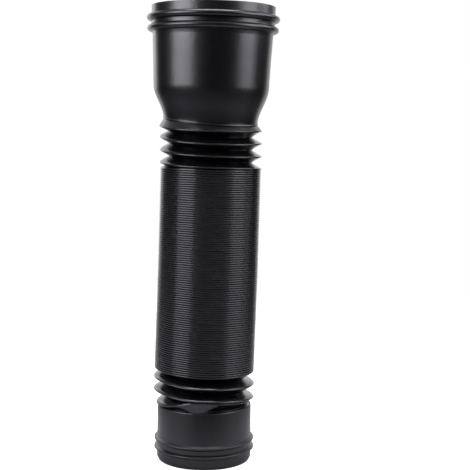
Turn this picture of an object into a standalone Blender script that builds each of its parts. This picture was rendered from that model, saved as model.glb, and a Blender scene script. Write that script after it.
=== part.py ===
"""Flexible downspout extension: one blow-moulded tube of black polyethylene.

A wide cup with two raised rings slips over the downspout. A flare narrows it to a bellows, whose
folds are nearly all pressed shut, with a few open ones at each end. A plain spigot with two beads
is the other end. Every wall is turned from one section, and the tube is then set in the slightly
leaning stance that its slack folds take when it stands on its spigot. Metres, +Z up, front at -Y.
"""

import math

import bpy

NAME = "downspout_extension"
SEGMENTS = 20

# Walls. A fold's wall is thinner than that of the two ends, because it was blown out further.
WALL = 0.0015
FOLD_WALL = 0.0009

# Spigot, which slips into a nominal 4 inch drain.
SPIGOT_OD = 0.1031
SPIGOT_TOP_OD = 0.1024
SPIGOT_LENGTH = 0.0610
SPIGOT_EDGE = 0.0007
LOW_BEAD_HEIGHT = 0.0140
BEAD_SPACING = 0.0097
BEAD_OD = 0.1092
BEAD_HALF_BASE = 0.0031
BEAD_HALF_TIP = 0.0010
BEAD_SLOT = 0.0005

# Bellows. Rises are the heights from one crest to the next, counted upwards.
CREST_OD = 0.1098
FOLD_DEPTH = 0.0107
ROOT_OD = CREST_OD - 2 * FOLD_DEPTH
SHUT_FOLDS = 94
SHUT_PITCH = 0.002335
SHUT_DRAWN_IN = 0.0005
SHUT_CREST_OD = CREST_OD - 2 * SHUT_DRAWN_IN
SHUT_DEPTH = 0.0015
POPPED_DRAWN_IN = 0.0032
POPPED_CREST_OD = CREST_OD - 2 * POPPED_DRAWN_IN
POPPED_DEPTH = 0.0049
POPPED_ROOT_OD = POPPED_CREST_OD - 2 * POPPED_DEPTH
SPIGOT_TO_LOWEST_CREST = 0.0121
LOW_RISES = (0.0143, 0.0125)
HIGH_RISES = (0.0044, 0.0133, 0.0141, 0.0123)

# Cup.
LIP_OD = 0.1018
LIP_RISE = 0.0085
LIP_CREASE = 0.0008
LIP_HALF_HEIGHT = 0.0013
NECK_OD = 0.1012
NECK_RISE = 0.0026
FLARE_HEIGHT = 0.0338
FLARE_STEPS = 6
FLARE_FULLNESS = 1.15
BODY_LOW_OD = 0.1230
BODY_MIDDLE_OD = 0.1249
BODY_HIGH_OD = 0.1268
BODY_STRAIGHT = 0.0270
BODY_DRAFTED = 0.0190
COVE_OD = 0.1279
COVE_DROP = 0.0040
BODY_TO_RING = 0.0125
RING_SPACING = 0.0113
LOW_RING_OD = 0.1390
HIGH_RING_OD = 0.1406
RING_HALF_BASE = 0.0034
RING_HALF_TIP = 0.0018
RING_SLOT = 0.0010
COLLAR_OD = 0.1304
COLLAR_HEIGHT = 0.0125
RIM_OD = 0.1308

# The lowest fold has popped down on its left side, where it lies on the spigot, and stays shut
# against the fold above it elsewhere. Angles run from the front towards the right.
POPPED_DROP = 0.0139
POPPED_AZIMUTH = math.radians(-90)
POPPED_REACH = math.radians(100)
DENT_AZIMUTH = math.radians(-9)
DENT_SPREAD = math.radians(13)

COLOUR = (0.012, 0.012, 0.013, 1.0)
ROUGHNESS = 0.38


def heights():
    """Height of each ring that the tube's stance is set at, on the straight tube."""
    level = {"base": 0.0, "spigot": SPIGOT_LENGTH}
    level["low_2"] = level["spigot"] + SPIGOT_TO_LOWEST_CREST
    level["popped"] = level["low_2"] - SHUT_PITCH
    level["low_1"] = level["low_2"] + LOW_RISES[0]
    level["shut_first"] = level["low_1"] + LOW_RISES[1]
    level["shut_last"] = level["shut_first"] + (SHUT_FOLDS - 1) * SHUT_PITCH
    level["shut_middle"] = (level["shut_first"] + level["shut_last"]) / 2
    level["high_4"] = level["shut_last"] + HIGH_RISES[0]
    level["high_3"] = level["high_4"] + HIGH_RISES[1]
    level["high_2"] = level["high_3"] + HIGH_RISES[2]
    level["high_1"] = level["high_2"] + HIGH_RISES[3]
    level["lip"] = level["high_1"] + LIP_RISE
    level["neck"] = level["lip"] + NECK_RISE
    level["shoulder"] = level["neck"] + FLARE_HEIGHT
    level["body_middle"] = level["shoulder"] + BODY_STRAIGHT
    level["body_high"] = level["body_middle"] + BODY_DRAFTED
    level["ring_low"] = level["body_high"] + BODY_TO_RING
    level["ring_high"] = level["ring_low"] + RING_SPACING
    level["rim"] = level["ring_high"] + COLLAR_HEIGHT
    return level


LEVEL = heights()

# Stance: tilt of a ring to the right and to the front, in degrees, then how far its centre has
# moved to the right and to the front, in metres, then how much of the popped fold's drop it takes.
STANCE = (
    ("base", 0.0, 0.0, 0.0, 0.0, 0.0),
    ("spigot", 0.0, 0.0, 0.0, 0.0, 0.0),
    ("popped", 4.9, -2.0, -0.0012, 0.0, 1.0),
    ("low_2", 4.9, -2.0, -0.0008, 0.0, 0.0),
    ("low_1", 4.2, -0.3, -0.0006, -0.0006, 0.0),
    ("shut_first", 2.0, 0.5, -0.0005, -0.0006, 0.0),
    ("shut_middle", 1.4, 0.5, 0.0024, 0.0004, 0.0),
    ("shut_last", 0.9, 0.4, 0.0043, 0.0013, 0.0),
    ("high_4", 3.3, 1.9, 0.0042, 0.0023, 0.0),
    ("high_3", 3.4, 3.7, 0.0043, 0.0043, 0.0),
    ("high_2", 3.5, 5.4, 0.0043, 0.0064, 0.0),
    ("high_1", 2.6, 4.3, 0.0038, 0.0081, 0.0),
    ("lip", 3.8, 5.4, 0.0036, 0.0088, 0.0),
    ("shoulder", 1.0, 1.8, 0.0041, 0.0102, 0.0),
    ("rim", 0.3, 2.0, 0.0059, 0.0142, 0.0),
)


def between(low, high, share):
    return low + (high - low) * share


def stance_at(height):
    """The stance of the tube at any height, read between the two nearest rings."""
    for lower, upper in zip(STANCE, STANCE[1:]):
        low, high = LEVEL[lower[0]], LEVEL[upper[0]]
        if height <= high:
            share = max(0.0, (height - low) / (high - low))
            return [between(a, b, share) for a, b in zip(lower[1:], upper[1:])]
    return STANCE[-1][1:]


def popped_share(azimuth):
    """How far the lowest fold has popped down at this azimuth, from 0 to 1."""
    away = abs(math.remainder(azimuth - POPPED_AZIMUTH, math.tau))
    if away >= POPPED_REACH:
        return 0.0
    return math.cos(away / POPPED_REACH * math.pi / 2) ** 2


def stand(radius, azimuth, height):
    """The place of a point of the straight tube once the tube stands."""
    tilt_right, tilt_front, right, front, drop = stance_at(height)
    tilt_right, tilt_front = math.radians(tilt_right), math.radians(tilt_front)
    x = radius * math.sin(azimuth)
    y = -radius * math.cos(azimuth)
    z = height - x * math.sin(tilt_right) + y * math.sin(tilt_front)
    z -= drop * POPPED_DROP * popped_share(azimuth)
    return x * math.cos(tilt_right) + right, y * math.cos(tilt_front) - front, z


def middle(lower, upper):
    return (LEVEL[lower] + LEVEL[upper]) / 2


def fold_shift(rise):
    """How far inwards a fold's inner skin lies, measured along the radius."""
    half_rise = rise / 2
    return FOLD_WALL * math.hypot(half_rise, FOLD_DEPTH) / half_rise


def raised_ring(above_od, crest_od, below_od, height, half_base, half_tip):
    """A raised ring's four corners, from the top down."""
    return [
        (above_od / 2, height + half_base),
        (crest_od / 2, height + half_tip),
        (crest_od / 2, height - half_tip),
        (below_od / 2, height - half_base),
    ]


def ring_slot(below_od, crest_od, above_od, height, half_width):
    """The slot that the blown wall leaves inside a raised ring, from the bottom up."""
    return [
        (below_od / 2 - WALL, height - half_width),
        (crest_od / 2 - WALL, height),
        (above_od / 2 - WALL, height + half_width),
    ]


def flare(inset):
    """The S-shaped flare between cup and neck, from the top down."""
    points = []
    for step in range(FLARE_STEPS + 1):
        share = step / FLARE_STEPS
        swell = (1 + math.cos(share**FLARE_FULLNESS * math.pi)) / 2
        radius = between(NECK_OD, BODY_LOW_OD, swell) / 2 - inset
        points.append((radius, between(LEVEL["shoulder"], LEVEL["neck"], share)))
    return points


def cup_outside():
    points = [(RIM_OD / 2, LEVEL["rim"])]
    points += raised_ring(
        COLLAR_OD, HIGH_RING_OD, COLLAR_OD, LEVEL["ring_high"], RING_HALF_BASE, RING_HALF_TIP
    )
    points += raised_ring(
        COLLAR_OD, LOW_RING_OD, COVE_OD, LEVEL["ring_low"], RING_HALF_BASE, RING_HALF_TIP
    )
    cove = LEVEL["ring_low"] - RING_HALF_BASE - COVE_DROP
    points.append((between(BODY_HIGH_OD, COVE_OD, 0.25) / 2, cove))
    points.append((BODY_HIGH_OD / 2, LEVEL["body_high"]))
    points.append((BODY_MIDDLE_OD / 2, LEVEL["body_middle"]))
    points += flare(0.0)
    points.append((LIP_OD / 2, LEVEL["lip"]))
    points.append((LIP_OD / 2 - LIP_CREASE, LEVEL["lip"] - LIP_HALF_HEIGHT))
    return points


def cup_inside():
    points = [(LIP_OD / 2 - WALL - LIP_CREASE, LEVEL["lip"] - LIP_HALF_HEIGHT)]
    points += flare(WALL)[::-1]
    points.append((BODY_MIDDLE_OD / 2 - WALL, LEVEL["body_middle"]))
    points.append((BODY_HIGH_OD / 2 - WALL, LEVEL["body_high"]))
    points += ring_slot(COVE_OD, LOW_RING_OD, COLLAR_OD, LEVEL["ring_low"], RING_SLOT)
    points += ring_slot(COLLAR_OD, HIGH_RING_OD, COLLAR_OD, LEVEL["ring_high"], RING_SLOT)
    points.append((RIM_OD / 2 - WALL, LEVEL["rim"]))
    return points


def bellows_outside():
    """Crests and roots from the top down, and the roots whose depth follows how far they open."""
    points = []
    loose = {}
    for crest, below in (("high_1", "high_2"), ("high_2", "high_3"), ("high_3", "high_4")):
        points.append((CREST_OD / 2, LEVEL[crest]))
        points.append((ROOT_OD / 2, middle(crest, below)))
    points.append((CREST_OD / 2, LEVEL["high_4"]))

    loose[len(points)] = ("shut_last", "high_4", SHUT_CREST_OD, ROOT_OD)
    points.append((ROOT_OD / 2, middle("high_4", "shut_last")))
    points.append((SHUT_CREST_OD / 2, LEVEL["shut_last"]))
    for fold in range(1, SHUT_FOLDS):
        crest = LEVEL["shut_last"] - fold * SHUT_PITCH
        points.append((SHUT_CREST_OD / 2 - SHUT_DEPTH, crest + SHUT_PITCH / 2))
        points.append((SHUT_CREST_OD / 2, crest))

    points.append((ROOT_OD / 2, middle("shut_first", "low_1")))
    points.append((CREST_OD / 2, LEVEL["low_1"]))
    points.append((ROOT_OD / 2, middle("low_1", "low_2")))
    points.append((CREST_OD / 2, LEVEL["low_2"]))
    loose[len(points)] = ("popped", "low_2", POPPED_CREST_OD, ROOT_OD)
    points.append((ROOT_OD / 2, middle("low_2", "popped")))
    points.append((POPPED_CREST_OD / 2, LEVEL["popped"]))
    loose[len(points)] = ("spigot", "popped", POPPED_CREST_OD, POPPED_ROOT_OD)
    points.append((POPPED_ROOT_OD / 2, middle("popped", "spigot")))
    return points, loose


def bellows_inside():
    """The inner skin from the bottom up. Folds that are pressed shut leave a plain bore."""
    low, high = fold_shift(min(LOW_RISES)), fold_shift(min(HIGH_RISES[1:]))
    bore = ROOT_OD / 2 - FOLD_WALL
    points = [
        (POPPED_ROOT_OD / 2 - FOLD_WALL, middle("popped", "spigot")),
        (ROOT_OD / 2 - low, middle("low_2", "popped")),
        (CREST_OD / 2 - low, LEVEL["low_2"]),
        (ROOT_OD / 2 - low, middle("low_1", "low_2")),
        (CREST_OD / 2 - low, LEVEL["low_1"]),
        (ROOT_OD / 2 - low, middle("shut_first", "low_1")),
        (bore, LEVEL["shut_first"]),
        (bore, LEVEL["high_4"]),
    ]
    for below, crest in (("high_4", "high_3"), ("high_3", "high_2"), ("high_2", "high_1")):
        points.append((ROOT_OD / 2 - high, middle(below, crest)))
        points.append((CREST_OD / 2 - high, LEVEL[crest]))
    return points


def spigot_outside():
    points = [
        (SPIGOT_TOP_OD / 2 - SPIGOT_EDGE, LEVEL["spigot"]),
        (SPIGOT_TOP_OD / 2, LEVEL["spigot"] - SPIGOT_EDGE),
    ]
    for height in (LOW_BEAD_HEIGHT + BEAD_SPACING, LOW_BEAD_HEIGHT):
        points += raised_ring(SPIGOT_OD, BEAD_OD, SPIGOT_OD, height, BEAD_HALF_BASE, BEAD_HALF_TIP)
    points.append((SPIGOT_OD / 2, LEVEL["base"]))
    return points


def spigot_inside():
    points = [(SPIGOT_OD / 2 - WALL, LEVEL["base"])]
    for height in (LOW_BEAD_HEIGHT, LOW_BEAD_HEIGHT + BEAD_SPACING):
        points += ring_slot(SPIGOT_OD, BEAD_OD, SPIGOT_OD, height, BEAD_SLOT)
    points.append((SPIGOT_TOP_OD / 2 - WALL, LEVEL["spigot"] - WALL))
    return points


def section():
    """The whole section, down the outer skin and up the inner one, and its loose roots."""
    cup = cup_outside()
    bellows, loose = bellows_outside()
    loose = {len(cup) + index: root for index, root in loose.items()}
    outside = cup + bellows + spigot_outside()
    return outside + spigot_inside() + bellows_inside() + cup_inside(), loose


def root_radius(root, azimuth):
    """A loose root's radius: deep where its fold is open, and shallow where it is shut."""
    lower, upper, crest_od, root_od = root
    low = stand(crest_od / 2, azimuth, LEVEL[lower])[2]
    high = stand(crest_od / 2, azimuth, LEVEL[upper])[2]
    share = (high - low - SHUT_PITCH) / (min(HIGH_RISES[1:]) - SHUT_PITCH)
    share = min(1.0, max(0.0, share))
    radius = between(crest_od / 2 - SHUT_DEPTH, root_od / 2, share)
    if lower == "spigot":
        away = math.remainder(azimuth - DENT_AZIMUTH, math.tau) / DENT_SPREAD
        radius = between(radius, crest_od / 2, math.exp(-away * away / 2))
    return radius


def turned(points):
    """An object whose mesh is the section turned about Z."""
    mesh = bpy.data.meshes.new(NAME)
    edges = [(index, (index + 1) % len(points)) for index in range(len(points))]
    mesh.from_pydata([(radius, 0.0, height) for radius, height in points], edges, [])
    obj = bpy.data.objects.new(NAME, mesh)
    bpy.context.scene.collection.objects.link(obj)
    screw = obj.modifiers.new("Turn", "SCREW")
    screw.axis = "Z"
    screw.angle = math.tau
    screw.steps = SEGMENTS
    screw.render_steps = SEGMENTS
    screw.use_merge_vertices = True
    screw.merge_threshold = 0.00001
    bpy.context.view_layer.update()
    graph = bpy.context.evaluated_depsgraph_get()
    solid = bpy.data.meshes.new_from_object(obj.evaluated_get(graph))
    obj.modifiers.clear()
    obj.data = solid
    solid.name = NAME
    bpy.data.meshes.remove(mesh)
    return obj


def set_standing(mesh, points, loose):
    """Leans and tilts the turned rings, and puts the middle of the model's floor at the origin."""
    places = []
    for vertex in mesh.vertices:
        x, y, height = vertex.co
        azimuth = math.atan2(x, -y)
        radius = math.hypot(x, y)
        root = loose.get(vertex.index % len(points))
        if root:
            radius = root_radius(root, azimuth)
        places.append(stand(radius, azimuth, height))
    middle_x = (min(p[0] for p in places) + max(p[0] for p in places)) / 2
    middle_y = (min(p[1] for p in places) + max(p[1] for p in places)) / 2
    for vertex, (x, y, z) in zip(mesh.vertices, places):
        vertex.co = (x - middle_x, y - middle_y, z)


def black_plastic():
    material = bpy.data.materials.new("black_polyethylene")
    material.use_nodes = True
    shader = material.node_tree.nodes["Principled BSDF"]
    shader.inputs["Base Color"].default_value = COLOUR
    shader.inputs["Roughness"].default_value = ROUGHNESS
    shader.inputs["Metallic"].default_value = 0.0
    return material


def main():
    for obj in list(bpy.data.objects):
        bpy.data.objects.remove(obj, do_unlink=True)
    points, loose = section()
    tube = turned(points)
    set_standing(tube.data, points, loose)
    tube.data.materials.append(black_plastic())
    tube.data.shade_smooth()
    tube.data.set_sharp_from_angle(angle=math.radians(35))
    collection = bpy.data.collections.new("Flexible downspout extension")
    bpy.context.scene.collection.children.link(collection)
    bpy.context.scene.collection.objects.unlink(tube)
    collection.objects.link(tube)


main()
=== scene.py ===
"""Looks of the flexible downspout extension: one blow-moulded tube of black polyethylene.

The tube is turned from one fine section and then set in the stance that its slack folds take, so it
stands for the faceted CAD node. It is shown on a white table, between tall soft lights.
"""

import math

import bpy
import numpy as np
from mathutils import Matrix


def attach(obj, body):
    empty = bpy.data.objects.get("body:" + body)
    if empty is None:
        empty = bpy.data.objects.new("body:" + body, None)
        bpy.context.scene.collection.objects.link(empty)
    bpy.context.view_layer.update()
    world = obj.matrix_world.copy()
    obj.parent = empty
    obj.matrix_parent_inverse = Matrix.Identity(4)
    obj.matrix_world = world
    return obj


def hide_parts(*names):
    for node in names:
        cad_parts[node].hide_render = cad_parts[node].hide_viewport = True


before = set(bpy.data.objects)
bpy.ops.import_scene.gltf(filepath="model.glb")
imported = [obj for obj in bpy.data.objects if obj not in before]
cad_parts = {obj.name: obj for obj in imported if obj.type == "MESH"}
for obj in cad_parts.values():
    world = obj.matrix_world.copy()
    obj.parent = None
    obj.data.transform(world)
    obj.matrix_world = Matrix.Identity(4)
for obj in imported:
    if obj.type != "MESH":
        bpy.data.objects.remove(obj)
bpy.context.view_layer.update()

bl_info = {
    "name": "Flexible Downspout Extension",
    "version": (1, 0, 0),
    "blender": (4, 5, 0),
    "location": "3D View > Sidebar > Downspout",
    "description": "Builds a ribbed black drain tube and the white table that it stands on",
    "category": "Add Mesh",
}

PIECE = "downspout_tube"
NODE = "downspout_extension"

# Turned section. Every ring has this many corners.
SEGMENTS = 72
STEP = math.tau / SEGMENTS
FILLET_STEPS = 4
# The most of a side of the section that the fillet at one of its ends takes up.
FILLET_SHARE = 0.48
FLARE_STEPS = 18
RING_STEPS = 14
LOOP_RADIUS = 0.05
MERGE_DISTANCE = 0.00001
SMOOTH_ANGLE = math.radians(50)
# Azimuth of each corner of a ring, from the front towards the right. The spin starts at +X.
AZIMUTHS = math.pi / 2 + STEP * np.arange(SEGMENTS)
TO_RIGHT = (1 + np.sin(AZIMUTHS)) / 2

# Spigot.
SPIGOT_SHOULDER = 0.0011
SPIGOT_LEAD_IN = 0.0016
SPIGOT_LEAD_IN_HEIGHT = 0.0034
SPIGOT_LEAD_IN_ROUND = 0.003
SPIGOT_LEAD_IN_ROUND_INSIDE = 0.002
SPIGOT_EDGE_ROUND = 0.0005
# Heights of a bead's corners over its middle, from the top down.
BEAD_HEIGHTS = (0.0022, 0.0004, -0.0011, -0.0031)
BEAD_ROUND = 0.0006
CREASE_ROUND = 0.00012
# Hollow inside of a blown bead or ring: half its height at its mouth and at its tip, and the
# fillets there.
BEAD_SLOT = (0.0014, 0.0005, 0.0005, 0.0004)
RING_SLOT = (0.0016, 0.0007, 0.0006, 0.0005)

# Bellows. Rises are the heights from one crest to the next, counted upwards.
CREST_ROUND = 0.0008
ROOT_FLAT = 0.98
CREST_TURN = math.radians(60)
CREST_STEPS = 3
CREST_RUB = (0.0, 0.3, 0.8, 1.0, 0.8, 0.3, 0.0)
CREST_HALF = CREST_ROUND * math.sin(CREST_TURN)
CREST_INSET = CREST_ROUND * (1 - math.cos(CREST_TURN))
SHUT_DRAWN_IN = 0.0005
SHUT_CREST_HALF = 0.0009
SHUT_CREST_INSET = 0.0005
# Section of a shut fold's crest: height over its middle, how far in it lies, and how rubbed it is.
SHUT_CREST = (
    (0.00096, 0.00080, 0.0),
    (0.00070, 0.00022, 0.6),
    (0.00048, 0.00004, 1.0),
    (-0.00010, 0.00002, 0.8),
    (-0.00058, 0.00016, 0.3),
    (-0.00090, 0.00070, 0.0),
)
# How unevenly the shut folds stand out, are oval and ride up, in metres.
SHUT_SWELL = 0.00004
SHUT_OVAL = 0.00004
SHUT_RIDE = 0.00003
# Where down a gap between two crests its wall has rings.
VALLEY_SHARES = (0.08, 0.18, 0.3, 0.4, 0.47, 0.5, 0.53, 0.6, 0.7, 0.82, 0.92)
# Walls of the open folds, each at the tube's left and at its right: how far down the gap the root
# is, how full the lower flank is and how straight the upper one, and how much deeper the root is.
HIGH_ROOT = (0.47, 0.50)
HIGH_FULLNESS = (1.5, 1.0)
HIGH_UNDER = (1.0, 0.8)
LOW_ROOTS = ((0.42, 0.62), (0.57, 0.62))
LOW_DEEPER = ((0.0007, 0.0014), (0.0005, 0.0014))
POPPED_DRAWN_IN = 0.0032
POPPED_DEPTH = 0.0049
POPPED_PITCH = 0.0029
POPPED_GAP_ROOT = 0.57
# Wall under the popped fold: where it has rings, where it is deepest, how full it is, its last ring
# and how far it reaches in, and how far and from where on its root hangs down.
POPPED_SHARES = (0.06, 0.14, 0.24, 0.36, 0.5, 0.64, 0.78, 0.87, 0.94)
POPPED_DEEPEST = 0.8
POPPED_FULLNESS = 0.8
POPPED_FOOT = (0.99, 0.35)
POPPED_ROOT_DROP = 0.0009
POPPED_ROOT_FROM = 0.78
SPIGOT_TO_LOWEST_CREST = 0.0121
LOW_RISES = (0.0143, 0.0125)
HIGH_RISES = (0.0044, 0.0133, 0.0141, 0.0123)
# Inner skin: how far in it lies past the wall, half its flat at a crest or root, how deep it is
# hollow behind a shut crest, and where its land between two of them lies, as shares of the pitch.
INNER_DEEPER = 0.0003
INNER_FLAT = 0.0005
INNER_HOLLOW = 0.0014
INNER_LAND = (0.3, 0.7)

# Cup.
LIP_RISE = 0.0085
LIP_CREASE = 0.0008
LIP_HALF_HEIGHT = 0.0013
LIP_FLAT = 0.0007
LIP_ROUND = 0.0003
NECK_RISE = 0.0022
NECK_DRAWN_IN = 0.0001
FLARE_END = math.radians(162)
CREASE_RISE = 0.0006
CREASE_SWEEP = 0.0022
BODY_STRAIGHT = 0.0270
BODY_DRAFTED = 0.0190
BODY_ROUND = 0.02
COVE_OD = 0.1279
COVE_DROP = 0.0040
COVE_SHARE = 0.25
COVE_ROUND = 0.003
BODY_TO_RING = 0.0125
RING_SPACING = 0.0113
RING_HALF = 0.0037
RING_FOOT = math.radians(4)
RIM_ROUND = 0.0004

# Stance: tilt of a ring to the right and to the front, in degrees, how far its centre has moved to
# the right and to the front, in metres, how much of the popped fold's drop it takes, and how far it
# is twisted into a saddle and sags at its front left, in metres.
STANCE = (
    ("base", 0.0, 0.0, 0.0, 0.0, 0.0, 0.0, 0.0),
    ("spigot", 0.0, 0.0, 0.0, 0.0, 0.0, 0.0, 0.0),
    ("popped", 4.9, -2.0, -0.0012, 0.0, 1.0, 0.0003, 0.0003),
    ("low_2", 4.9, -2.0, -0.0008, 0.0, 0.0, 0.0004, 0.0013),
    ("low_1", 4.2, -0.3, -0.0006, -0.0006, 0.0, 0.0003, 0.0010),
    ("shut_first", 2.0, 0.5, -0.0005, -0.0006, 0.0, 0.0, 0.0),
    ("shut_middle", 1.4, 0.5, 0.0024, 0.0004, 0.0, 0.0, 0.0),
    ("shut_last", 0.9, 0.4, 0.0043, 0.0013, 0.0, 0.0, 0.0),
    ("high_4", 3.3, 1.9, 0.0042, 0.0023, 0.0, 0.0009, 0.0),
    ("high_3", 3.4, 3.7, 0.0043, 0.0043, 0.0, 0.0008, 0.0),
    ("high_2", 3.5, 5.4, 0.0043, 0.0064, 0.0, 0.0009, 0.0),
    ("high_1", 2.6, 4.3, 0.0038, 0.0081, 0.0, 0.0009, 0.0),
    ("lip", 3.8, 6.6, 0.0036, 0.0088, 0.0, 0.0, 0.0),
    ("shoulder", 1.0, 1.8, 0.0041, 0.0102, 0.0, 0.0, 0.0),
    ("rim", 0.3, 2.0, 0.0059, 0.0142, 0.0, 0.0, 0.0),
)
STANCE_COLUMNS = list(zip(*STANCE))[1:]
SAG_AZIMUTH = math.radians(-19)
SAG_SPREAD = math.radians(14)
# The lowest fold has popped down on its left side, and a patch of its wall has pushed out flush at
# the front, wide at the fold's crest and narrow at the spigot.
POPPED_AZIMUTH = math.radians(-90)
POPPED_REACH = math.radians(93)
POPPED_EASE = 1.5
PATCH_MIDDLE = (math.radians(-6), math.radians(-7))
PATCH_HALF_WIDTH = (math.radians(19), math.radians(7))
PATCH_EDGE = math.radians(11)
# The spigot's middle stands here, which puts the middle of the whole tube's floor at the origin.
BASE_RIGHT = -0.005627
BASE_BACK = 0.013592

# Textures: how patterns are drawn out along the tube, how high the finer ones stand, how far a
# seam and a speck of dust reach, and how many specks show.
GRAIN_HEIGHT = 0.22
WIDE_DRAWN = (1.0, 1.0, 0.02)
FINE_DRAWN = (1.0, 1.0, 0.03)
FINE_STREAK_HEIGHT = 0.35
GAPS_DRAWN = (1.0, 1.0, 0.3)
SEAM_REACH = (0.0002, 0.0006)
SEAM_HEIGHT = 1.6
SCUFF_DRAWN = (1.0, 1.0, 0.12)
DUST_REACH = (0.03, 0.055)
DUST_CHOSEN = (0.88, 0.9)
# Plastic: how much rougher each effect makes it where it is full.
GRAIN_ROUGHNESS = 0.06
SMEAR_ROUGHNESS = 0.035
STREAK_ROUGHNESS = 0.05
RUB_ROUGHNESS = 0.12
DUST_ROUGHNESS = 0.4
# How rubbed the skin and the folds are, and how much of the streaks and the peel the folds have.
SKIN_RUB = 0.5
FOLD_RUB = 0.9
FOLD_STREAKS = 0.3
FOLD_PEEL = 0.25

# Table: its size, how its painted fall-off of light is stretched and where it falls off, where and
# how dark its painted shade near the tube is, and how brightly the camera sees it near the tube and
# further out.
TABLE_RADIUS = 1.4
TABLE_CORNERS = 96
TABLE_ROUGHNESS = 0.9
PAINTED_FALLOFF_STRETCH = (0.82, 1.5, 1.0)
PAINTED_FALLOFF_REACH = (0.16, 0.62)
PAINTED_SHADE_REACH = (0.06, 0.20)
PAINTED_SHADE_TONE = 0.68
SEEN_NEAR = 0.92
SEEN_FAR = 1.0

# Surroundings: where each part begins and is full, along its own axis of the world.
BACKDROP_RAMP = (0.72, 0.82)
ROOM_RAMP = (0.18, 0.36)
CEILING_RAMP = (0.72, 0.84)
DARK = 0.01

# Camera.
CAMERA_PLACE = (0.02575, -1.0703, 0.33446)
CAMERA_DOWN = 4.65
CAMERA_ROLL = 0.778

# Soft lights: azimuth in degrees, distance, height, width and tallness in metres, tilt down in
# degrees, and the setting that holds its strength.
SOFT_LIGHTS = (
    ("left_soft_light", -56, 1.2, 0.79, 0.86, 0.95, 0, "left"),
    ("right_soft_light", 71, 1.2, 0.79, 0.70, 0.95, 0, "right"),
    ("rear_left_soft_light", -142, 1.2, 0.82, 0.45, 0.95, 0, "rear"),
    ("rear_right_soft_light", 108, 1.2, 1.14, 0.45, 0.95, 0, "rear_right"),
    ("front_soft_light", 60, 1.0, 1.0, 0.65, 0.45, 35, "front"),
    ("top_soft_light", 0, 0.0, 1.5, 0.90, 0.60, 90, "top"),
)


def away_from(azimuth):
    """How far each corner of a ring is from an azimuth, as an angle."""
    return (AZIMUTHS - azimuth + math.pi) % math.tau - math.pi


def popped_share():
    """How much of the popped fold's drop each corner of a ring takes."""
    angle = np.minimum(np.abs(away_from(POPPED_AZIMUTH)) / POPPED_REACH, 1.0)
    return np.cos(angle**POPPED_EASE * math.pi / 2) ** 2


POPPED_SHARE = popped_share()
SAG_SHARE = np.exp(-((away_from(SAG_AZIMUTH) / SAG_SPREAD) ** 2) / 2)
SADDLE_SHARE = np.sin(2 * AZIMUTHS)


def across(ends):
    """A value for each corner of a ring, from its value at the left and at the right."""
    return ends[0] + (ends[1] - ends[0]) * TO_RIGHT


def moved_in(ring, depth):
    """A ring drawn in towards its own middle by a depth that may vary round it."""
    inward = ring.mean(axis=0)[:2] - ring[:, :2]
    inward /= np.linalg.norm(inward, axis=1)[:, None]
    drawn = ring.copy()
    drawn[:, :2] += inward * np.broadcast_to(depth, SEGMENTS)[:, None]
    return drawn


def arc(before, corner, after, radius):
    """Points of the arc of this radius that rounds a corner of the section."""
    corner = np.array(corner)
    to_before = np.array(before) - corner
    to_after = np.array(after) - corner
    reach_before, reach_after = np.linalg.norm(to_before), np.linalg.norm(to_after)
    to_before /= reach_before
    to_after /= reach_after
    half = math.acos(max(-1.0, min(1.0, float(to_before @ to_after)))) / 2
    run = min(radius / math.tan(half), FILLET_SHARE * reach_before, FILLET_SHARE * reach_after)
    radius = run * math.tan(half)
    bisector = to_before + to_after
    centre = corner + bisector / np.linalg.norm(bisector) * radius / math.sin(half)
    start = corner + to_before * run - centre
    end = corner + to_after * run - centre
    turn = math.atan2(start[0] * end[1] - start[1] * end[0], float(start @ end))
    points = []
    for step in range(FILLET_STEPS + 1):
        angle = turn * step / FILLET_STEPS
        cosine, sine = math.cos(angle), math.sin(angle)
        turned = (cosine * start[0] - sine * start[1], sine * start[0] + cosine * start[1])
        points.append(centre + turned)
    return points


def bead_corners(od, crest_od, height):
    """Corners of a spigot bead, from the top down."""
    crease, crest = (od / 2, CREASE_ROUND, 0.0), (crest_od / 2, BEAD_ROUND, 1.0)
    return [
        (radius, height + rise, fillet, rub)
        for rise, (radius, fillet, rub) in zip(BEAD_HEIGHTS, (crease, crest, crest, crease))
    ]


def ring_corners(above_od, crest_od, below_od, height):
    """Corners of one of the cup's raised rings, half an oval in section, from the top down."""
    corners = [(above_od / 2, height + RING_HALF, CREASE_ROUND)]
    for step in range(1, RING_STEPS):
        angle = RING_FOOT + (math.pi - 2 * RING_FOOT) * step / RING_STEPS
        foot = (above_od if angle < math.pi / 2 else below_od) / 2
        out = math.sin(angle)
        radius = foot + (crest_od / 2 - foot) * out
        corners.append((radius, height + RING_HALF * math.cos(angle), 0.0, out**4))
    corners.append((below_od / 2, height - RING_HALF, CREASE_ROUND))
    return corners


def slot_corners(below, tip, above, height, slot):
    """Corners of the hollow inside of a bead or ring, from the bottom up, at these radii."""
    half_mouth, half_tip, mouth_round, tip_round = slot
    return [
        (below, height - half_mouth, mouth_round),
        (tip, height - half_tip, tip_round),
        (tip, height + half_tip, tip_round),
        (above, height + half_mouth, mouth_round),
    ]


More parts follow.
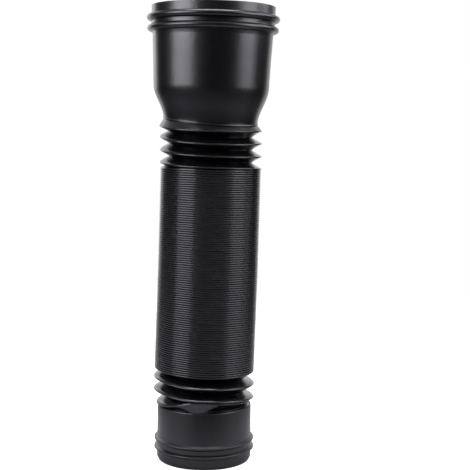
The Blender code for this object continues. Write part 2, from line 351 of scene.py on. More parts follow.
class Tube:
    """The rings of the tube, down its outer skin and up its inner one, and how each is worn."""

    def __init__(self, spigot, bellows, cup):
        self.spigot, self.bellows, self.cup = spigot, bellows, cup
        self.rings = []
        self.rub = []
        self.folded = []
        self.level = self.heights()
        self.stance_heights = [self.level[row[0]] for row in STANCE]

    def heights(self):
        """Height of each named ring on the straight tube."""
        bellows, cup = self.bellows, self.cup
        level = {"base": 0.0}
        height = 0.0
        for name, rise in (
            ("spigot", self.spigot.length),
            ("low_2", SPIGOT_TO_LOWEST_CREST),
            ("low_1", LOW_RISES[0]),
            ("shut_first", LOW_RISES[1]),
            ("shut_last", (bellows.shut_folds - 1) * bellows.shut_pitch),
            ("high_4", HIGH_RISES[0]),
            ("high_3", HIGH_RISES[1]),
            ("high_2", HIGH_RISES[2]),
            ("high_1", HIGH_RISES[3]),
            ("lip", LIP_RISE),
            ("neck", NECK_RISE),
            ("shoulder", cup.flare_height),
            ("body_middle", BODY_STRAIGHT),
            ("body_high", BODY_DRAFTED),
            ("ring_low", BODY_TO_RING),
            ("ring_high", RING_SPACING),
            ("rim", cup.collar_height),
        ):
            height += rise
            level[name] = height
        level["popped"] = level["low_2"] - POPPED_PITCH
        level["shut_middle"] = (level["shut_first"] + level["shut_last"]) / 2
        return level

    def standing(self, radius, height, rise=0.0):
        """A ring of the standing tube, as the place of each of its corners.

        Its stance is that of the given height, and rise lifts it from there with the same tilt."""
        row = [np.interp(height, self.stance_heights, column) for column in STANCE_COLUMNS]
        tilt_right, tilt_front = math.radians(row[0]), math.radians(row[1])
        right, front, drop, saddle, sag = row[2:]
        x = radius * np.sin(AZIMUTHS)
        y = -radius * np.cos(AZIMUTHS)
        z = height + rise - x * math.sin(tilt_right) + y * math.sin(tilt_front)
        z = z - drop * self.bellows.popped_drop * POPPED_SHARE
        z = z + (saddle * SADDLE_SHARE - sag * SAG_SHARE) * radius / (self.bellows.crest_od / 2)
        x = x * math.cos(tilt_right) + right + BASE_RIGHT
        y = y * math.cos(tilt_front) - front + BASE_BACK
        return np.stack([x, y, z], axis=1)

    def add(self, ring, rub=0.0, folded=False):
        self.rings.append(ring)
        self.rub.append(rub)
        self.folded.append(folded)

    def add_fold(self, radius, height, rise=0.0):
        self.add(self.standing(radius, height, rise), 0.0, True)

    def turn(self, corners, first=0, last=None):
        """Adds rings for corners of (radius, height, fillet, rub), each fillet a short arc.

        A fillet or a rub of 0 may be left out at a corner's end. Corners before first and from last
        on only show where the section comes from and goes to."""
        for index in range(len(corners))[first:last]:
            radius, height, fillet, worn = (*corners[index], 0.0, 0.0)[:4]
            if not fillet:
                self.add(self.standing(radius, height), worn)
                continue
            before, after = corners[index - 1][:2], corners[index + 1][:2]
            for point in arc(before, (radius, height), after, fillet):
                self.add(self.standing(point[0], point[1]), worn)

    def flare(self, inset):
        """Corners of the S-shaped flare between cup and neck, from the top down."""
        low, high = self.cup.neck_od, self.cup.body_low_od
        top, foot, end = self.level["shoulder"], self.level["neck"], math.cos(FLARE_END)
        corners = []
        for step in range(FLARE_STEPS + 1):
            share = step / FLARE_STEPS
            swell = (math.cos(share * FLARE_END) - end) / (1 - end)
            height = top + (foot - top) * share
            corners.append(((low + (high - low) * swell) / 2 - inset, height))
        return corners

    def add_cup_outside(self):
        cup, level = self.cup, self.level
        cove = level["ring_low"] - RING_HALF - COVE_DROP
        corners = [
            ((cup.rim_od - cup.wall) / 2, level["rim"], 0.0, 0.7),
            (cup.rim_od / 2, level["rim"], RIM_ROUND, 1.0),
        ]
        corners += ring_corners(cup.collar_od, cup.high_ring_od, cup.collar_od, level["ring_high"])
        corners += ring_corners(cup.collar_od, cup.low_ring_od, COVE_OD, level["ring_low"])
        swell = COVE_SHARE * (COVE_OD - cup.body_high_od) / 2
        lip = cup.lip_od / 2
        corners += [
            (cup.body_high_od / 2 + swell, cove, COVE_ROUND),
            (cup.body_high_od / 2, level["body_high"]),
            (cup.body_middle_od / 2, level["body_middle"], BODY_ROUND),
            *self.flare(0.0),
            (cup.neck_od / 2 - NECK_DRAWN_IN, level["lip"] + CREASE_RISE, CREASE_SWEEP),
            (lip, level["lip"], LIP_ROUND, 0.4),
            (lip, level["lip"] - LIP_FLAT, LIP_ROUND, 0.4),
            (lip - LIP_CREASE, level["lip"] - LIP_HALF_HEIGHT),
        ]
        self.turn(corners)

    def add_cup_inside(self):
        cup, level, wall = self.cup, self.level, self.cup.wall
        corners = [
            (cup.lip_od / 2 - wall - LIP_CREASE, level["lip"] - LIP_HALF_HEIGHT),
            *self.flare(wall)[::-1],
            (cup.body_middle_od / 2 - wall, level["body_middle"]),
            (cup.body_high_od / 2 - wall, level["body_high"]),
        ]
        above = cup.collar_od / 2 - wall
        for name, below_od, ring_od in (
            ("ring_low", COVE_OD, cup.low_ring_od),
            ("ring_high", cup.collar_od, cup.high_ring_od),
        ):
            below, tip = below_od / 2 - wall, ring_od / 2 - wall
            corners += slot_corners(below, tip, above, level[name], RING_SLOT)
        corners.append((cup.rim_od / 2 - wall, level["rim"], RIM_ROUND, 0.6))
        corners.append(((cup.rim_od - wall) / 2, level["rim"], 0.0, 0.7))
        self.turn(corners, last=-1)

    def crest(self, od, name, half=CREST_HALF, inset=CREST_INSET):
        """A fold's rounded crest, from its upper edge down to its lower one."""
        rings = []
        for step in range(-CREST_STEPS, CREST_STEPS + 1):
            angle = -CREST_TURN * step / CREST_STEPS
            up = math.sin(angle) / math.sin(CREST_TURN)
            back = (1 - math.cos(angle)) / (1 - math.cos(CREST_TURN))
            rings.append(self.standing(od / 2 - inset * back, self.level[name], half * up))
        return rings

    def add_crest(self, rings):
        for ring, rub in zip(rings, CREST_RUB):
            self.add(ring, rub, True)

    def add_valley(self, upper_edge, lower_edge, depth, root=0.5, fullness=1.5, under=1.0):
        """Rings of the wall between two crests, from the upper one down to the lower one.

        Root is how far down the gap the wall is deepest. The flank over the lower crest is full and
        rounded, and the flank under the upper one is straight where under is 1."""
        for share in VALLEY_SHARES:
            if share <= 0.5:
                place = 2 * share * root
                reach = (2 * share) ** under
            else:
                place = root + (2 * share - 1) * (1 - root)
                reach = (2 - 2 * share) ** fullness
            place = np.broadcast_to(place, SEGMENTS)[:, None]
            ring = upper_edge + (lower_edge - upper_edge) * place
            self.add(moved_in(ring, depth * np.minimum(reach / ROOT_FLAT, 1.0)), 0.0, True)

    def opened(self, upper_edge, lower_edge):
        """How far the gap between two crests has opened at each azimuth, from 0 to 1."""
        shut_gap = self.bellows.shut_pitch - 2 * SHUT_CREST_HALF
        open_gap = min(HIGH_RISES[1:]) - 2 * CREST_HALF
        gap = upper_edge[:, 2] - lower_edge[:, 2]
        return np.clip((gap - shut_gap) / (open_gap - shut_gap), 0.0, 1.0)

    def shut_stack(self):
        """The folds that are pressed shut, each a few rings of its crest, with the small unevenness
        of a wall that was blown and not turned."""
        bellows = self.bellows
        random = np.random.default_rng(7)
        uneven = random.normal(0.0, 1.0, (bellows.shut_folds, 4))
        radius = bellows.crest_od / 2 - SHUT_DRAWN_IN
        stack = []
        for fold in range(bellows.shut_folds):
            level = self.level["shut_last"] - fold * bellows.shut_pitch
            swell, oval, phase, ride = uneven[fold]
            wave = SHUT_SWELL * swell + SHUT_OVAL * oval * np.sin(2 * AZIMUTHS + 6 * phase)
            stack.append(
                [
                    self.standing(radius + wave - back, level, SHUT_RIDE * ride + up)
                    for up, back, _ in SHUT_CREST
                ]
            )
        return stack

    def add_bellows_outside(self):
        bellows = self.bellows
        flank = bellows.fold_depth - CREST_INSET
        shut_flank = bellows.shut_depth - SHUT_CREST_INSET
        high_wall = [across(ends) for ends in (HIGH_ROOT, HIGH_FULLNESS, HIGH_UNDER)]

        def depth(upper_edge, lower_edge, full):
            """Depth of a gap between two crests that has come open in part."""
            return shut_flank + (full - shut_flank) * self.opened(upper_edge, lower_edge)

        names = ("high_1", "high_2", "high_3", "high_4")
        high = [self.crest(bellows.crest_od, name) for name in names]
        stack = self.shut_stack()
        for upper, lower in zip(high, high[1:]):
            self.add_crest(upper)
            self.add_valley(upper[-1], lower[0], flank, *high_wall)
        self.add_crest(high[-1])
        upper_edge, lower_edge = high[-1][-1], stack[0][0]
        self.add_valley(upper_edge, lower_edge, depth(upper_edge, lower_edge, flank))

        for fold, rings in enumerate(stack):
            for ring, (_, _, rub) in zip(rings, SHUT_CREST):
                self.add(ring, rub, True)
            if fold < bellows.shut_folds - 1:
                groove = (rings[-1] + stack[fold + 1][0]) / 2
                self.add(moved_in(groove, shut_flank), 0.0, True)

        upper = stack[-1]
        for name, root, deeper in zip(("low_1", "low_2"), LOW_ROOTS, LOW_DEEPER):
            lower = self.crest(bellows.crest_od, name)
            self.add_valley(upper[-1], lower[0], flank + across(deeper), across(root))
            self.add_crest(lower)
            upper = lower
        popped_od = bellows.crest_od - 2 * POPPED_DRAWN_IN
        popped = self.crest(popped_od, "popped", SHUT_CREST_HALF, SHUT_CREST_INSET)
        gap = depth(upper[-1], popped[0], flank)
        self.add_valley(upper[-1], popped[0], gap, POPPED_GAP_ROOT)
        self.add_crest(popped)

        shoulder = self.standing(self.spigot.top_od / 2 - SPIGOT_SHOULDER, self.level["spigot"])
        gap = depth(popped[-1], shoulder, POPPED_DEPTH)
        self.add_popped_wall(popped[-1], shoulder, gap)

    def add_popped_wall(self, upper_edge, lower_edge, depth):
        """Wall under the popped fold. It runs in to a root close over the spigot, but at the front
        a patch of it is pushed out flush."""
        deepest = ((share, min(share / POPPED_DEEPEST, 1.0)) for share in POPPED_SHARES)
        rows = [(share, reach**POPPED_FULLNESS) for share, reach in deepest]
        for share, reach in (*rows, POPPED_FOOT):
            middle = np.interp(share, (0, 1), PATCH_MIDDLE)
            half_width = np.interp(share, (0, 1), PATCH_HALF_WIDTH)
            outside = (np.abs(away_from(middle)) - half_width) / PATCH_EDGE
            recess = np.clip(outside, 0.0, 1.0)
            recess = recess * recess * (3 - 2 * recess)
            ring = upper_edge + (lower_edge - upper_edge) * share
            hang = max(share - POPPED_ROOT_FROM, 0.0) / (1 - POPPED_ROOT_FROM)
            ring[:, 2] -= POPPED_ROOT_DROP * recess * hang
            self.add(moved_in(ring, depth * reach * recess), 0.0, True)

    def add_bellows_inside(self):
        """The inner skin from the bottom up."""
        bellows, level = self.bellows, self.level
        root = bellows.crest_od / 2 - bellows.fold_depth
        bore = root - bellows.wall

        def shift(rise):
            """How far in the inner skin lies, measured level, in a fold of this rise."""
            slope = math.hypot(rise / 2, bellows.fold_depth) / (rise / 2)
            return bellows.wall * slope + INNER_DEEPER

        def middle(lower, upper):
            return (level[lower] + level[upper]) / 2

        def add_flat(radius, height):
            for rise in (-INNER_FLAT, INNER_FLAT):
                self.add_fold(radius, height, rise)

        crest = bellows.crest_od / 2
        low, high = shift(min(LOW_RISES)), shift(min(HIGH_RISES[1:]))
        popped = crest - POPPED_DRAWN_IN - POPPED_DEPTH - bellows.wall
        foot = level["spigot"] - POPPED_ROOT_DROP - bellows.wall
        self.add_fold(popped, foot)
        self.add_fold(popped, middle("popped", "spigot"))
        for below, name in (("popped", "low_2"), ("low_2", "low_1")):
            add_flat(root - low, middle(name, below))
            add_flat(crest - low, level[name])
        add_flat(root - low, middle("shut_first", "low_1"))
        for fold in range(bellows.shut_folds - 1):
            height = level["shut_first"] + fold * bellows.shut_pitch
            self.add_fold(bore + INNER_HOLLOW, height)
            for share in INNER_LAND:
                self.add_fold(bore, height + share * bellows.shut_pitch)
        self.add_fold(bore + INNER_HOLLOW, level["shut_last"])
        self.add_fold(bore, level["high_4"])
        for below, name in (("high_4", "high_3"), ("high_3", "high_2"), ("high_2", "high_1")):
            add_flat(root - high, middle(below, name))
            add_flat(crest - high, level[name])

    def add_spigot_outside(self):
        spigot, level = self.spigot, self.level
        corners = [
            (spigot.top_od / 2 - 2 * SPIGOT_SHOULDER, level["spigot"]),
            (spigot.top_od / 2, level["spigot"], SPIGOT_SHOULDER, 0.7),
        ]
        for height in (spigot.low_bead_height + spigot.bead_spacing, spigot.low_bead_height):
            corners += bead_corners(spigot.od, spigot.bead_od, height)
        edge = spigot.od / 2 - SPIGOT_LEAD_IN
        corners += [
            (spigot.od / 2, SPIGOT_LEAD_IN_HEIGHT, SPIGOT_LEAD_IN_ROUND),
            (edge, 0.0, SPIGOT_EDGE_ROUND, 0.6),
            (edge - spigot.wall, 0.0, 0.0, 0.3),
        ]
        self.turn(corners, first=1)

    def add_spigot_inside(self):
        spigot = self.spigot
        inner, tip = spigot.od / 2 - spigot.wall, spigot.bead_od / 2 - spigot.wall
        corners = [
            (inner - SPIGOT_LEAD_IN, 0.0),
            (inner, SPIGOT_LEAD_IN_HEIGHT, SPIGOT_LEAD_IN_ROUND_INSIDE),
        ]
        for height in (spigot.low_bead_height, spigot.low_bead_height + spigot.bead_spacing):
            corners += slot_corners(inner, tip, inner, height, BEAD_SLOT)
        shoulder = self.level["spigot"] - POPPED_ROOT_DROP - spigot.wall
        corners.append((spigot.top_od / 2 - spigot.wall, shoulder))
        self.turn(corners, first=1)

    def build(self):
        self.add_cup_outside()
        self.add_bellows_outside()
        self.add_spigot_outside()
        self.add_spigot_inside()
        self.add_bellows_inside()
        self.add_cup_inside()


def deselect_all():
    if bpy.context.object and bpy.context.object.mode != "OBJECT":
        bpy.ops.object.mode_set(mode="OBJECT")
    bpy.ops.object.select_all(action="DESELECT")


def turned_tube(shape):
    """Spins a loop with one corner for each ring, and sets each ring in its place."""
    count = len(shape.rings)
    deselect_all()
    bpy.ops.mesh.primitive_circle_add(vertices=count, radius=LOOP_RADIUS)
    tube = bpy.context.object
    tube.name = tube.data.name = PIECE
    mesh = tube.data
    rings = np.array(shape.rings)
    spokes = rings[:, :, :2] - rings[:, :, :2].mean(axis=1, keepdims=True)
    radii = np.linalg.norm(spokes, axis=2).mean(axis=1)
    levels = rings[:, :, 2].mean(axis=1)
    loop = np.stack([radii, np.zeros(count), levels], axis=1)
    mesh.vertices.foreach_set("co", loop.ravel())
    number = mesh.attributes.new("ring", "INT", "POINT")
    number.data.foreach_set("value", np.arange(count, dtype=np.int32))

    bpy.ops.object.mode_set(mode="EDIT")
    bpy.ops.mesh.select_all(action="SELECT")
    bpy.ops.mesh.spin(steps=SEGMENTS, angle=math.tau, center=(0, 0, 0), axis=(0, 0, 1))
    bpy.ops.mesh.select_all(action="SELECT")
    bpy.ops.mesh.remove_doubles(threshold=MERGE_DISTANCE)
    bpy.ops.mesh.select_all(action="SELECT")
    bpy.ops.mesh.normals_make_consistent(inside=False)
    bpy.ops.object.mode_set(mode="OBJECT")

    total = len(mesh.vertices)
    if total != count * SEGMENTS:
        raise RuntimeError(f"the spun tube has {total} corners, not {count * SEGMENTS}")
    spun = np.empty(total * 3)
    mesh.vertices.foreach_get("co", spun)
    spun = spun.reshape(-1, 3)
    ring = np.empty(total, dtype=np.int32)
    mesh.attributes["ring"].data.foreach_get("value", ring)
    corner = np.rint(np.arctan2(spun[:, 1], spun[:, 0]) / STEP).astype(int) % SEGMENTS
    mesh.vertices.foreach_set("co", rings[ring, corner].ravel())
    for name, values in (("rub", shape.rub), ("folded", shape.folded)):
        layer = mesh.attributes.new(name, "FLOAT", "POINT")
        layer.data.foreach_set("value", np.array(values, dtype=float)[ring])
    # Each corner's place on the straight tube, which the streaks of the mould follow.
    straight = mesh.attributes.new("straight", "FLOAT_VECTOR", "POINT")
    straight.data.foreach_set("vector", spun.ravel())
    mesh.update()
    folded = np.array(shape.folded)[ring]
    for face in mesh.polygons:
        face.material_index = int(all(folded[v] for v in face.vertices))
    return tube


def add_node(tree, kind, values=None, **settings):
    """A node of this kind, with its settings and its inputs, each a value or an output to link."""
    node = tree.nodes.new(kind)
    for name, value in settings.items():
        setattr(node, name, value)
    for name, value in (values or {}).items():
        if isinstance(value, bpy.types.NodeSocket):
            tree.links.new(value, node.inputs[name])
        else:
            node.inputs[name].default_value = value
    return node


def shader_group(name, inputs, outputs):
    """A new shader node group, its input node and its output node. An input without a default is a
    place, and all other inputs and the outputs are values."""
    group = bpy.data.node_groups.new(name, "ShaderNodeTree")
    for label, default in inputs:
        kind = "NodeSocketVector" if default is None else "NodeSocketFloat"
        socket = group.interface.new_socket(name=label, in_out="INPUT", socket_type=kind)
        if default is not None:
            socket.default_value = default
    for label in outputs:
        group.interface.new_socket(name=label, in_out="OUTPUT", socket_type="NodeSocketFloat")
    return group, group.nodes.new("NodeGroupInput"), group.nodes.new("NodeGroupOutput")


def maths(tree, operation, first, second):
    """A Math node. Each operand is a number or an output to link."""
    return add_node(tree, "ShaderNodeMath", {0: first, 1: second}, operation=operation).outputs[0]


def product(tree, first, second):
    return maths(tree, "MULTIPLY", first, second)


def mapped(tree, value, low, high, to_low=0.0, to_high=1.0):
    """A smooth Map Range of a value."""
    limits = {"From Min": low, "From Max": high, "To Min": to_low, "To Max": to_high}
    inputs = {"Value": value, **limits}
    node = add_node(tree, "ShaderNodeMapRange", inputs, interpolation_type="SMOOTHSTEP")
    return node.outputs["Result"]


def noise(tree, place, scale, detail=2.0, roughness=0.5):
    """A Noise texture read at a place. The scale is a number or an output to link."""
    inputs = {"Vector": place, "Scale": scale, "Detail": detail, "Roughness": roughness}
    return add_node(tree, "ShaderNodeTexNoise", inputs).outputs["Fac"]


def stretched(tree, place, scale):
    """A place squeezed along each axis, so that a pattern read there is drawn out."""
    node = add_node(tree, "ShaderNodeVectorMath", {0: place, 1: scale}, operation="MULTIPLY")
    return node.outputs[0]


def mixed(tree, mask, colour, other, blend_type="MIX"):
    """Two colours mixed by a mask. Each is a colour or an output to link."""
    inputs = {"Factor": mask, 6: colour, 7: other}
    node = add_node(tree, "ShaderNodeMix", inputs, data_type="RGBA", blend_type=blend_type)
    return node.outputs[2]


def mould_grain():
    """The fine grain and slight orange peel that a blow mould leaves."""
    group, start, end = shader_group(
        "mould_grain", (("Place", None), ("Peel Size", 0.0022)), ("Height", "Tone")
    )
    place = start.outputs["Place"]
    peel = noise(group, place, maths(group, "DIVIDE", 1.0, start.outputs["Peel Size"]), detail=1.0)
    grain = noise(group, place, scale=2600.0, roughness=0.6)
    height = maths(group, "ADD", peel, product(group, grain, GRAIN_HEIGHT))
    group.links.new(height, end.inputs["Height"])
    group.links.new(grain, end.inputs["Tone"])
    return group


def drawn_streaks():
    """Faint streaks along the tube, drawn in the wall as it leaves the die, and one seam of the
    mould on each side."""
    group, start, end = shader_group(
        "drawn_streaks", (("Straight", None), ("Amount", 1.0)), ("Height", "Mask")
    )
    straight = start.outputs["Straight"]
    wide = noise(group, stretched(group, straight, WIDE_DRAWN), scale=260.0, roughness=0.6)
    fine = noise(group, stretched(group, straight, FINE_DRAWN), scale=900.0, roughness=0.6)
    gaps = noise(group, stretched(group, straight, GAPS_DRAWN), scale=60.0)
    broken = mapped(group, gaps, low=0.35, high=0.65)
    streak = maths(group, "ADD", wide, product(group, fine, FINE_STREAK_HEIGHT))
    split = add_node(group, "ShaderNodeSeparateXYZ", {0: straight})
    # The mould's halves meet on the tube's left and right sides.
    aside = maths(group, "ABSOLUTE", split.outputs["Y"], 0.0)
    seam = mapped(group, aside, *SEAM_REACH, to_low=SEAM_HEIGHT, to_high=0.0)
    height = maths(group, "ADD", product(group, streak, broken), seam)
    mask = product(group, mapped(group, fine, low=0.5, high=0.75), broken)
    for value, name in ((height, "Height"), (mask, "Mask")):
        group.links.new(product(group, value, start.outputs["Amount"]), end.inputs[name])
    return group


def rubbed_edges():
    """Where crests, beads and rings have been rubbed dull and a little pale."""
    group, start, end = shader_group(
        "rubbed_edges", (("Place", None), ("Rub", 0.0), ("Amount", 1.0)), ("Mask",)
    )
    place = start.outputs["Place"]
    patches = noise(group, place, scale=55.0, detail=3.0, roughness=0.6)
    patches = mapped(group, patches, low=0.42, high=0.66)
    flecks = mapped(group, noise(group, place, scale=900.0, roughness=0.6), low=0.45, high=0.62)
    edge = mapped(group, start.outputs["Rub"], low=0.55, high=1.0)
    worn = product(group, product(group, patches, flecks), edge)
    group.links.new(product(group, worn, start.outputs["Amount"]), end.inputs["Mask"])
    return group


def handling_marks():
    """Dull smears left by hands, a few fine scuffs and specks of dust."""
    group, start, end = shader_group(
        "handling_marks", (("Place", None), ("Amount", 1.0)), ("Smear", "Scuff", "Dust")
    )
    place = start.outputs["Place"]
    smear = noise(group, place, scale=22.0, detail=3.0, roughness=0.55)
    smear = mapped(group, smear, low=0.4, high=0.72)
    lines = noise(group, stretched(group, place, SCUFF_DRAWN), scale=1500.0, detail=1.0)
    lines = mapped(group, lines, low=0.62, high=0.7)
    where = mapped(group, noise(group, place, scale=70.0, detail=1.0), low=0.62, high=0.72)
    scuff = product(group, lines, where)
    specks = add_node(group, "ShaderNodeTexVoronoi", {"Scale": 240.0, "Vector": place})
    near = mapped(group, specks.outputs["Distance"], *DUST_REACH, to_low=1.0, to_high=0.0)
    split = add_node(group, "ShaderNodeSeparateColor", {0: specks.outputs["Color"]})
    dust = product(group, near, mapped(group, split.outputs["Red"], *DUST_CHOSEN))
    for value, name in ((smear, "Smear"), (scuff, "Scuff"), (dust, "Dust")):
        group.links.new(product(group, value, start.outputs["Amount"]), end.inputs[name])
    return group


def black_plastic(name, finish, groups, roughness, streaks, rub, peel_depth):
    """Satin black polyethylene, with its grain, streaks, rubbed edges and marks."""
    material = bpy.data.materials.new(name)
    material.use_nodes = True
    tree = material.node_tree
    shader = tree.nodes["Principled BSDF"]
    place = add_node(tree, "ShaderNodeTexCoord").outputs["Object"]
    straight = add_node(tree, "ShaderNodeAttribute", attribute_name="straight").outputs["Vector"]
    worn = add_node(tree, "ShaderNodeAttribute", attribute_name="rub").outputs["Fac"]

    def effect(group, values):
        return add_node(tree, "ShaderNodeGroup", values, node_tree=groups[group]).outputs

    grain = effect("mould_grain", {"Place": place, "Peel Size": finish.peel_size})
    drawn = effect("drawn_streaks", {"Straight": straight, "Amount": streaks})
    rubbed = effect("rubbed_edges", {"Place": place, "Rub": worn, "Amount": rub})
    marks = effect("handling_marks", {"Place": place, "Amount": finish.marks})

    base = (*finish.plastic, 1.0)
    for mask, other in (
        (rubbed["Mask"], finish.rubbed),
        (marks["Scuff"], finish.rubbed),
        (marks["Dust"], finish.dust),
    ):
        base = mixed(tree, mask, base, (*other, 1.0))
    tree.links.new(base, shader.inputs["Base Color"])

    rough = roughness - GRAIN_ROUGHNESS / 2
    for mask, amount in (
        (grain["Tone"], GRAIN_ROUGHNESS),
        (marks["Smear"], SMEAR_ROUGHNESS),
        (drawn["Mask"], STREAK_ROUGHNESS),
        (rubbed["Mask"], RUB_ROUGHNESS),
        (marks["Dust"], DUST_ROUGHNESS),
    ):
        rough = maths(tree, "ADD", rough, product(tree, mask, amount))
    tree.links.new(rough, shader.inputs["Roughness"])

    height = maths(tree, "ADD", grain["Height"], drawn["Height"])
    relief = {"Height": height, "Distance": peel_depth, "Strength": 1.0}
    bump = add_node(tree, "ShaderNodeBump", relief)
    tree.links.new(bump.outputs["Normal"], shader.inputs["Normal"])
    return material


def metres(name, default, description):
    """A size that the panel shows."""
    return bpy.props.FloatProperty(
        name=name, description=description, default=default, min=0.00001, precision=5, unit="LENGTH"
    )


def colour(name, default, description):
    return bpy.props.FloatVectorProperty(
        name=name, description=description, default=default, min=0.0, max=1.0, subtype="COLOR"
    )


def radiance(name, default, source):
    """How bright a light or a part of the surroundings is."""
    description = f"Radiance of the {source}"
    return bpy.props.FloatProperty(name=name, description=description, default=default, min=0.0)


def factor(name, default, description):
    return bpy.props.FloatProperty(
        name=name, description=description, default=default, min=0.0, max=1.0, subtype="FACTOR"
    )


class SpigotSettings(bpy.types.PropertyGroup):
    """Sizes of the spigot that goes into the drain."""

    od: metres("Outside Diameter", 0.1031, "Plain spigot at its beads")
    top_od: metres("Top Outside Diameter", 0.1024, "Plain spigot under the bellows")
    length: metres("Length", 0.0610, "From the cut end to the bellows")
    wall: metres("Wall", 0.0015, "Thickness of the spigot's wall")
    bead_od: metres("Bead Diameter", 0.1092, "Outside diameter of the two beads")
    low_bead_height: metres("Lower Bead Height", 0.0140, "Lower bead's middle over the cut end")
    bead_spacing: metres("Bead Spacing", 0.0097, "Between the middles of the two beads")


class BellowsSettings(bpy.types.PropertyGroup):
    """Sizes of the folds."""

    crest_od: metres("Crest Diameter", 0.1098, "Outside diameter over the open folds' crests")
    fold_depth: metres("Fold Depth", 0.0107, "From a crest in to the root of an open fold")
    wall: metres("Wall", 0.0009, "Thickness of the folds' wall")
    shut_pitch: metres("Shut Pitch", 0.002335, "Height of one fold that is pressed shut")
    shut_depth: metres("Shut Groove", 0.0017, "Depth of the groove between two shut folds")
    popped_drop: metres("Popped Drop", 0.0124, "Drop of the lowest fold on its left side")
    shut_folds: bpy.props.IntProperty(
        name="Shut Folds", description="Number of folds pressed shut", default=94, min=2
    )


class CupSettings(bpy.types.PropertyGroup):
    """Sizes of the cup that slips over the downspout."""

    lip_od: metres("Lip Diameter", 0.1018, "Small roll between the neck and the first fold")
    neck_od: metres("Neck Diameter", 0.1010, "Outside diameter under the flare")
    flare_height: metres("Flare Height", 0.0342, "From the neck to the cup's body")
    body_low_od: metres("Body Diameter", 0.1230, "Outside diameter at the foot of the body")
    body_middle_od: metres("Middle Diameter", 0.1249, "Outside diameter half way up the body")
    body_high_od: metres("Top Diameter", 0.1268, "Outside diameter of the body under its rings")
    low_ring_od: metres("Lower Ring Diameter", 0.1390, "Outside diameter of the lower raised ring")
    high_ring_od: metres("Upper Ring Diameter", 0.1406, "Outside diameter of the upper raised ring")
    collar_od: metres("Collar Diameter", 0.1304, "Outside diameter of the collar over the rings")
    collar_height: metres("Collar Height", 0.01247, "From the upper ring's middle to the rim")
    rim_od: metres("Rim Diameter", 0.1308, "Outside diameter at the rim")
    wall: metres("Wall", 0.0015, "Thickness of the cup's wall")


class FinishSettings(bpy.types.PropertyGroup):
    """Colours and surface of the plastic."""

    plastic: colour("Plastic", (0.0016, 0.0015, 0.0024), "Black polyethylene")
    rubbed: colour("Rubbed", (0.016, 0.0155, 0.020), "Plastic where it has been rubbed")
    dust: colour("Dust", (0.07, 0.068, 0.07), "Specks of dust")
    roughness: factor("Roughness", 0.30, "Roughness of the cup and the spigot")
    fold_roughness: factor("Fold Roughness", 0.19, "Roughness of the folds")
    marks: factor("Marks", 0.8, "How much the tube has been handled")
    streaks: factor("Streaks", 1.0, "How strongly the wall is streaked")
    peel_size: metres("Peel Size", 0.0022, "Size of the slight orange peel")
    peel_depth: metres("Peel Depth", 0.00006, "Depth of the orange peel")


class StudioSettings(bpy.types.PropertyGroup):
    """Table, lights and camera."""

    table: colour("Table", (0.66, 0.66, 0.68), "White table around the tube")
    # Painted fall-off of light: the table's colour further out.
    painted_far_dimming: colour("Table Edge", (0.09, 0.09, 0.095), "Table further out, white to the camera")
    light: colour("Light", (0.93, 0.915, 1.0), "Colour of the soft lights")
    left: radiance("Left Light", 9.3, "tall light on the left")
    right: radiance("Right Light", 5.7, "tall light on the right")
    rear: radiance("Rear Light", 1.3, "light behind on the left")
    rear_right: radiance("Rear Right Light", 5.0, "light behind on the right")
    front: radiance("Front Light", 3.5, "small light over the camera's right")
    top: radiance("Top Light", 9.5, "light overhead")
    room: radiance("Room", 0.32, "room above the height of the table")
    ceiling: radiance("Ceiling", 0.48, "ceiling around the overhead light")
    backdrop: radiance("Backdrop", 1.2, "backdrop behind the tube")
    lens: bpy.props.FloatProperty(
        name="Lens", description="Focal length", default=76.596, min=1.0, unit="CAMERA"
    )


class DOWNSPOUT_OT_tube(bpy.types.Operator):
    """Build the whole tube: cup, bellows and spigot in one wall"""

    bl_idname = "downspout.tube"
    bl_label = "Tube"

    def execute(self, context):
        scene = context.scene
        shape = Tube(scene.downspout_spigot, scene.downspout_bellows, scene.downspout_cup)
        shape.build()
        tube = turned_tube(shape)
        finish = scene.downspout_finish
        effects = (mould_grain, drawn_streaks, rubbed_edges, handling_marks)
        groups = {effect.__name__: effect() for effect in effects}
        for name, roughness, rub, streaks, peel in (
            ("black_polyethylene_skin", finish.roughness, SKIN_RUB, 1.0, 1.0),
            ("black_polyethylene_folds", finish.fold_roughness, FOLD_RUB, FOLD_STREAKS, FOLD_PEEL),
        ):
            streaks, peel = finish.streaks * streaks, finish.peel_depth * peel
            plastic = black_plastic(name, finish, groups, roughness, streaks, rub, peel)
            tube.data.materials.append(plastic)
        deselect_all()
        tube.select_set(True)
        context.view_layer.objects.active = tube
        bpy.ops.object.shade_smooth_by_angle(angle=SMOOTH_ANGLE)
        deselect_all()
        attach(tube, "root")
        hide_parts(NODE)
        return {"FINISHED"}


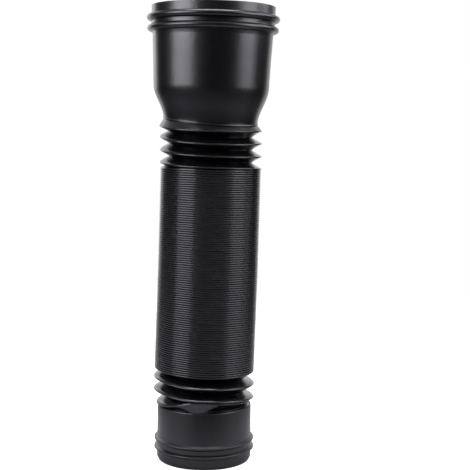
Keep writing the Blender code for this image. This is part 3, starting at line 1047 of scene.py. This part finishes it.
def white_table(studio):
    """Material of the table: white to the camera, with the tube's shadow. Its colour has painted
    shade around the tube's foot and painted fall-off of light further out, so what the tube mirrors
    of it is palest a little way off, and fades with distance."""
    material = bpy.data.materials.new("white_table")
    material.use_nodes = True
    tree = material.node_tree
    shader = tree.nodes["Principled BSDF"]
    shader.inputs["Roughness"].default_value = TABLE_ROUGHNESS
    shader.inputs["Emission Color"].default_value = (1, 1, 1, 1)
    place = add_node(tree, "ShaderNodeTexCoord").outputs["Object"]

    def distance(point):
        node = add_node(tree, "ShaderNodeVectorMath", {0: point}, operation="LENGTH")
        return node.outputs["Value"]

    # Painted fall-off of light: the colour darkens further out, sooner towards the front and the
    # back than towards the sides.
    far = mapped(tree, distance(stretched(tree, place, PAINTED_FALLOFF_STRETCH)), *PAINTED_FALLOFF_REACH)
    painted_falloff = mixed(tree, far, (*studio.table, 1.0), (*studio.painted_far_dimming, 1.0))
    # Painted shade: the table's colour darkens around the tube's foot.
    shade = mapped(tree, distance(place), *PAINTED_SHADE_REACH, to_low=PAINTED_SHADE_TONE)
    shaded = mixed(tree, 1.0, painted_falloff, shade, "MULTIPLY")
    tree.links.new(shaded, shader.inputs["Base Color"])
    seen = add_node(tree, "ShaderNodeLightPath").outputs["Is Camera Ray"]
    white = maths(tree, "ADD", product(tree, far, SEEN_FAR - SEEN_NEAR), SEEN_NEAR)
    tree.links.new(product(tree, seen, white), shader.inputs["Emission Strength"])
    return material


def soft_light(name, azimuth, distance, height, width, tall, down, strength, tint):
    """A rectangular soft light that faces the tube from an azimuth."""
    light = bpy.data.lights.new(name, "AREA")
    light.shape = "RECTANGLE"
    light.size = width
    light.size_y = tall
    light.color = tint
    light.energy = strength * math.pi * width * tall
    lamp = bpy.data.objects.new(name, light)
    bpy.context.scene.collection.objects.link(lamp)
    angle = math.radians(azimuth)
    lamp.location = (distance * math.sin(angle), -distance * math.cos(angle), height)
    # An area light shines along its own -Z, which is turned to look at the tube.
    lamp.rotation_euler = (math.radians(90 - down), 0.0, angle)
    lamp.visible_camera = False


def studio_world(studio):
    """Dark surroundings with a bright backdrop behind the tube, white to the camera."""
    world = bpy.data.worlds.new("studio")
    world.use_nodes = True
    tree = world.node_tree
    place = add_node(tree, "ShaderNodeTexCoord").outputs["Generated"]
    way = add_node(tree, "ShaderNodeSeparateXYZ", {0: place}).outputs
    backdrop = mapped(tree, way["Y"], *BACKDROP_RAMP, to_low=DARK, to_high=studio.backdrop)
    room = mapped(tree, way["Z"], *ROOM_RAMP, to_high=studio.room)
    ceiling = mapped(tree, way["Z"], *CEILING_RAMP, to_high=studio.ceiling)
    glow = maths(tree, "MAXIMUM", backdrop, maths(tree, "MAXIMUM", room, ceiling))
    seen = add_node(tree, "ShaderNodeLightPath").outputs["Is Camera Ray"]
    shown = mixed(tree, seen, glow, (1, 1, 1, 1))
    tree.links.new(shown, tree.nodes["Background"].inputs["Color"])
    return world


class DOWNSPOUT_OT_studio(bpy.types.Operator):
    """Set the white table, the soft lights, the surroundings and the camera"""

    bl_idname = "downspout.studio"
    bl_label = "Studio"

    def execute(self, context):
        scene = context.scene
        studio = scene.downspout_studio
        scene.view_settings.view_transform = "Standard"
        deselect_all()
        bpy.ops.mesh.primitive_circle_add(
            vertices=TABLE_CORNERS, radius=TABLE_RADIUS, fill_type="NGON", location=(0, 0, 0)
        )
        table = context.object
        table.name = table.data.name = "table"
        table.data.materials.append(white_table(studio))
        for *placing, setting in SOFT_LIGHTS:
            soft_light(*placing, getattr(studio, setting), studio.light)
        scene.world = studio_world(studio)

        camera = bpy.data.cameras.new("camera")
        camera.lens = studio.lens
        view = bpy.data.objects.new("camera", camera)
        scene.collection.objects.link(view)
        view.matrix_world = (
            Matrix.Translation(CAMERA_PLACE)
            @ Matrix.Rotation(math.radians(90 - CAMERA_DOWN), 4, "X")
            @ Matrix.Rotation(math.radians(CAMERA_ROLL), 4, "Z")
        )
        scene.camera = view
        return {"FINISHED"}


class DOWNSPOUT_PT_panel(bpy.types.Panel):
    """Sizes, finish and studio of the downspout extension"""

    bl_label = "Downspout Extension"
    bl_space_type = "VIEW_3D"
    bl_region_type = "UI"
    bl_category = "Downspout"

    def draw(self, context):
        for title, name, _ in SETTINGS:
            box = self.layout.box()
            box.label(text=title)
            settings = getattr(context.scene, name)
            for key in settings.__annotations__:
                box.prop(settings, key)
        self.layout.operator(DOWNSPOUT_OT_tube.bl_idname)
        self.layout.operator(DOWNSPOUT_OT_studio.bl_idname)


SETTINGS = (
    ("Spigot", "downspout_spigot", SpigotSettings),
    ("Bellows", "downspout_bellows", BellowsSettings),
    ("Cup", "downspout_cup", CupSettings),
    ("Finish", "downspout_finish", FinishSettings),
    ("Studio", "downspout_studio", StudioSettings),
)
CLASSES = (
    *(row[2] for row in SETTINGS),
    DOWNSPOUT_OT_tube,
    DOWNSPOUT_OT_studio,
    DOWNSPOUT_PT_panel,
)


def register():
    for cls in CLASSES:
        bpy.utils.register_class(cls)
    for _, name, kind in SETTINGS:
        setattr(bpy.types.Scene, name, bpy.props.PointerProperty(type=kind))


def unregister():
    for _, name, _ in SETTINGS:
        delattr(bpy.types.Scene, name)
    for cls in reversed(CLASSES):
        bpy.utils.unregister_class(cls)


def main():
    register()
    bpy.ops.downspout.tube()
    bpy.ops.downspout.studio()


if __name__ == "__main__":
    main()
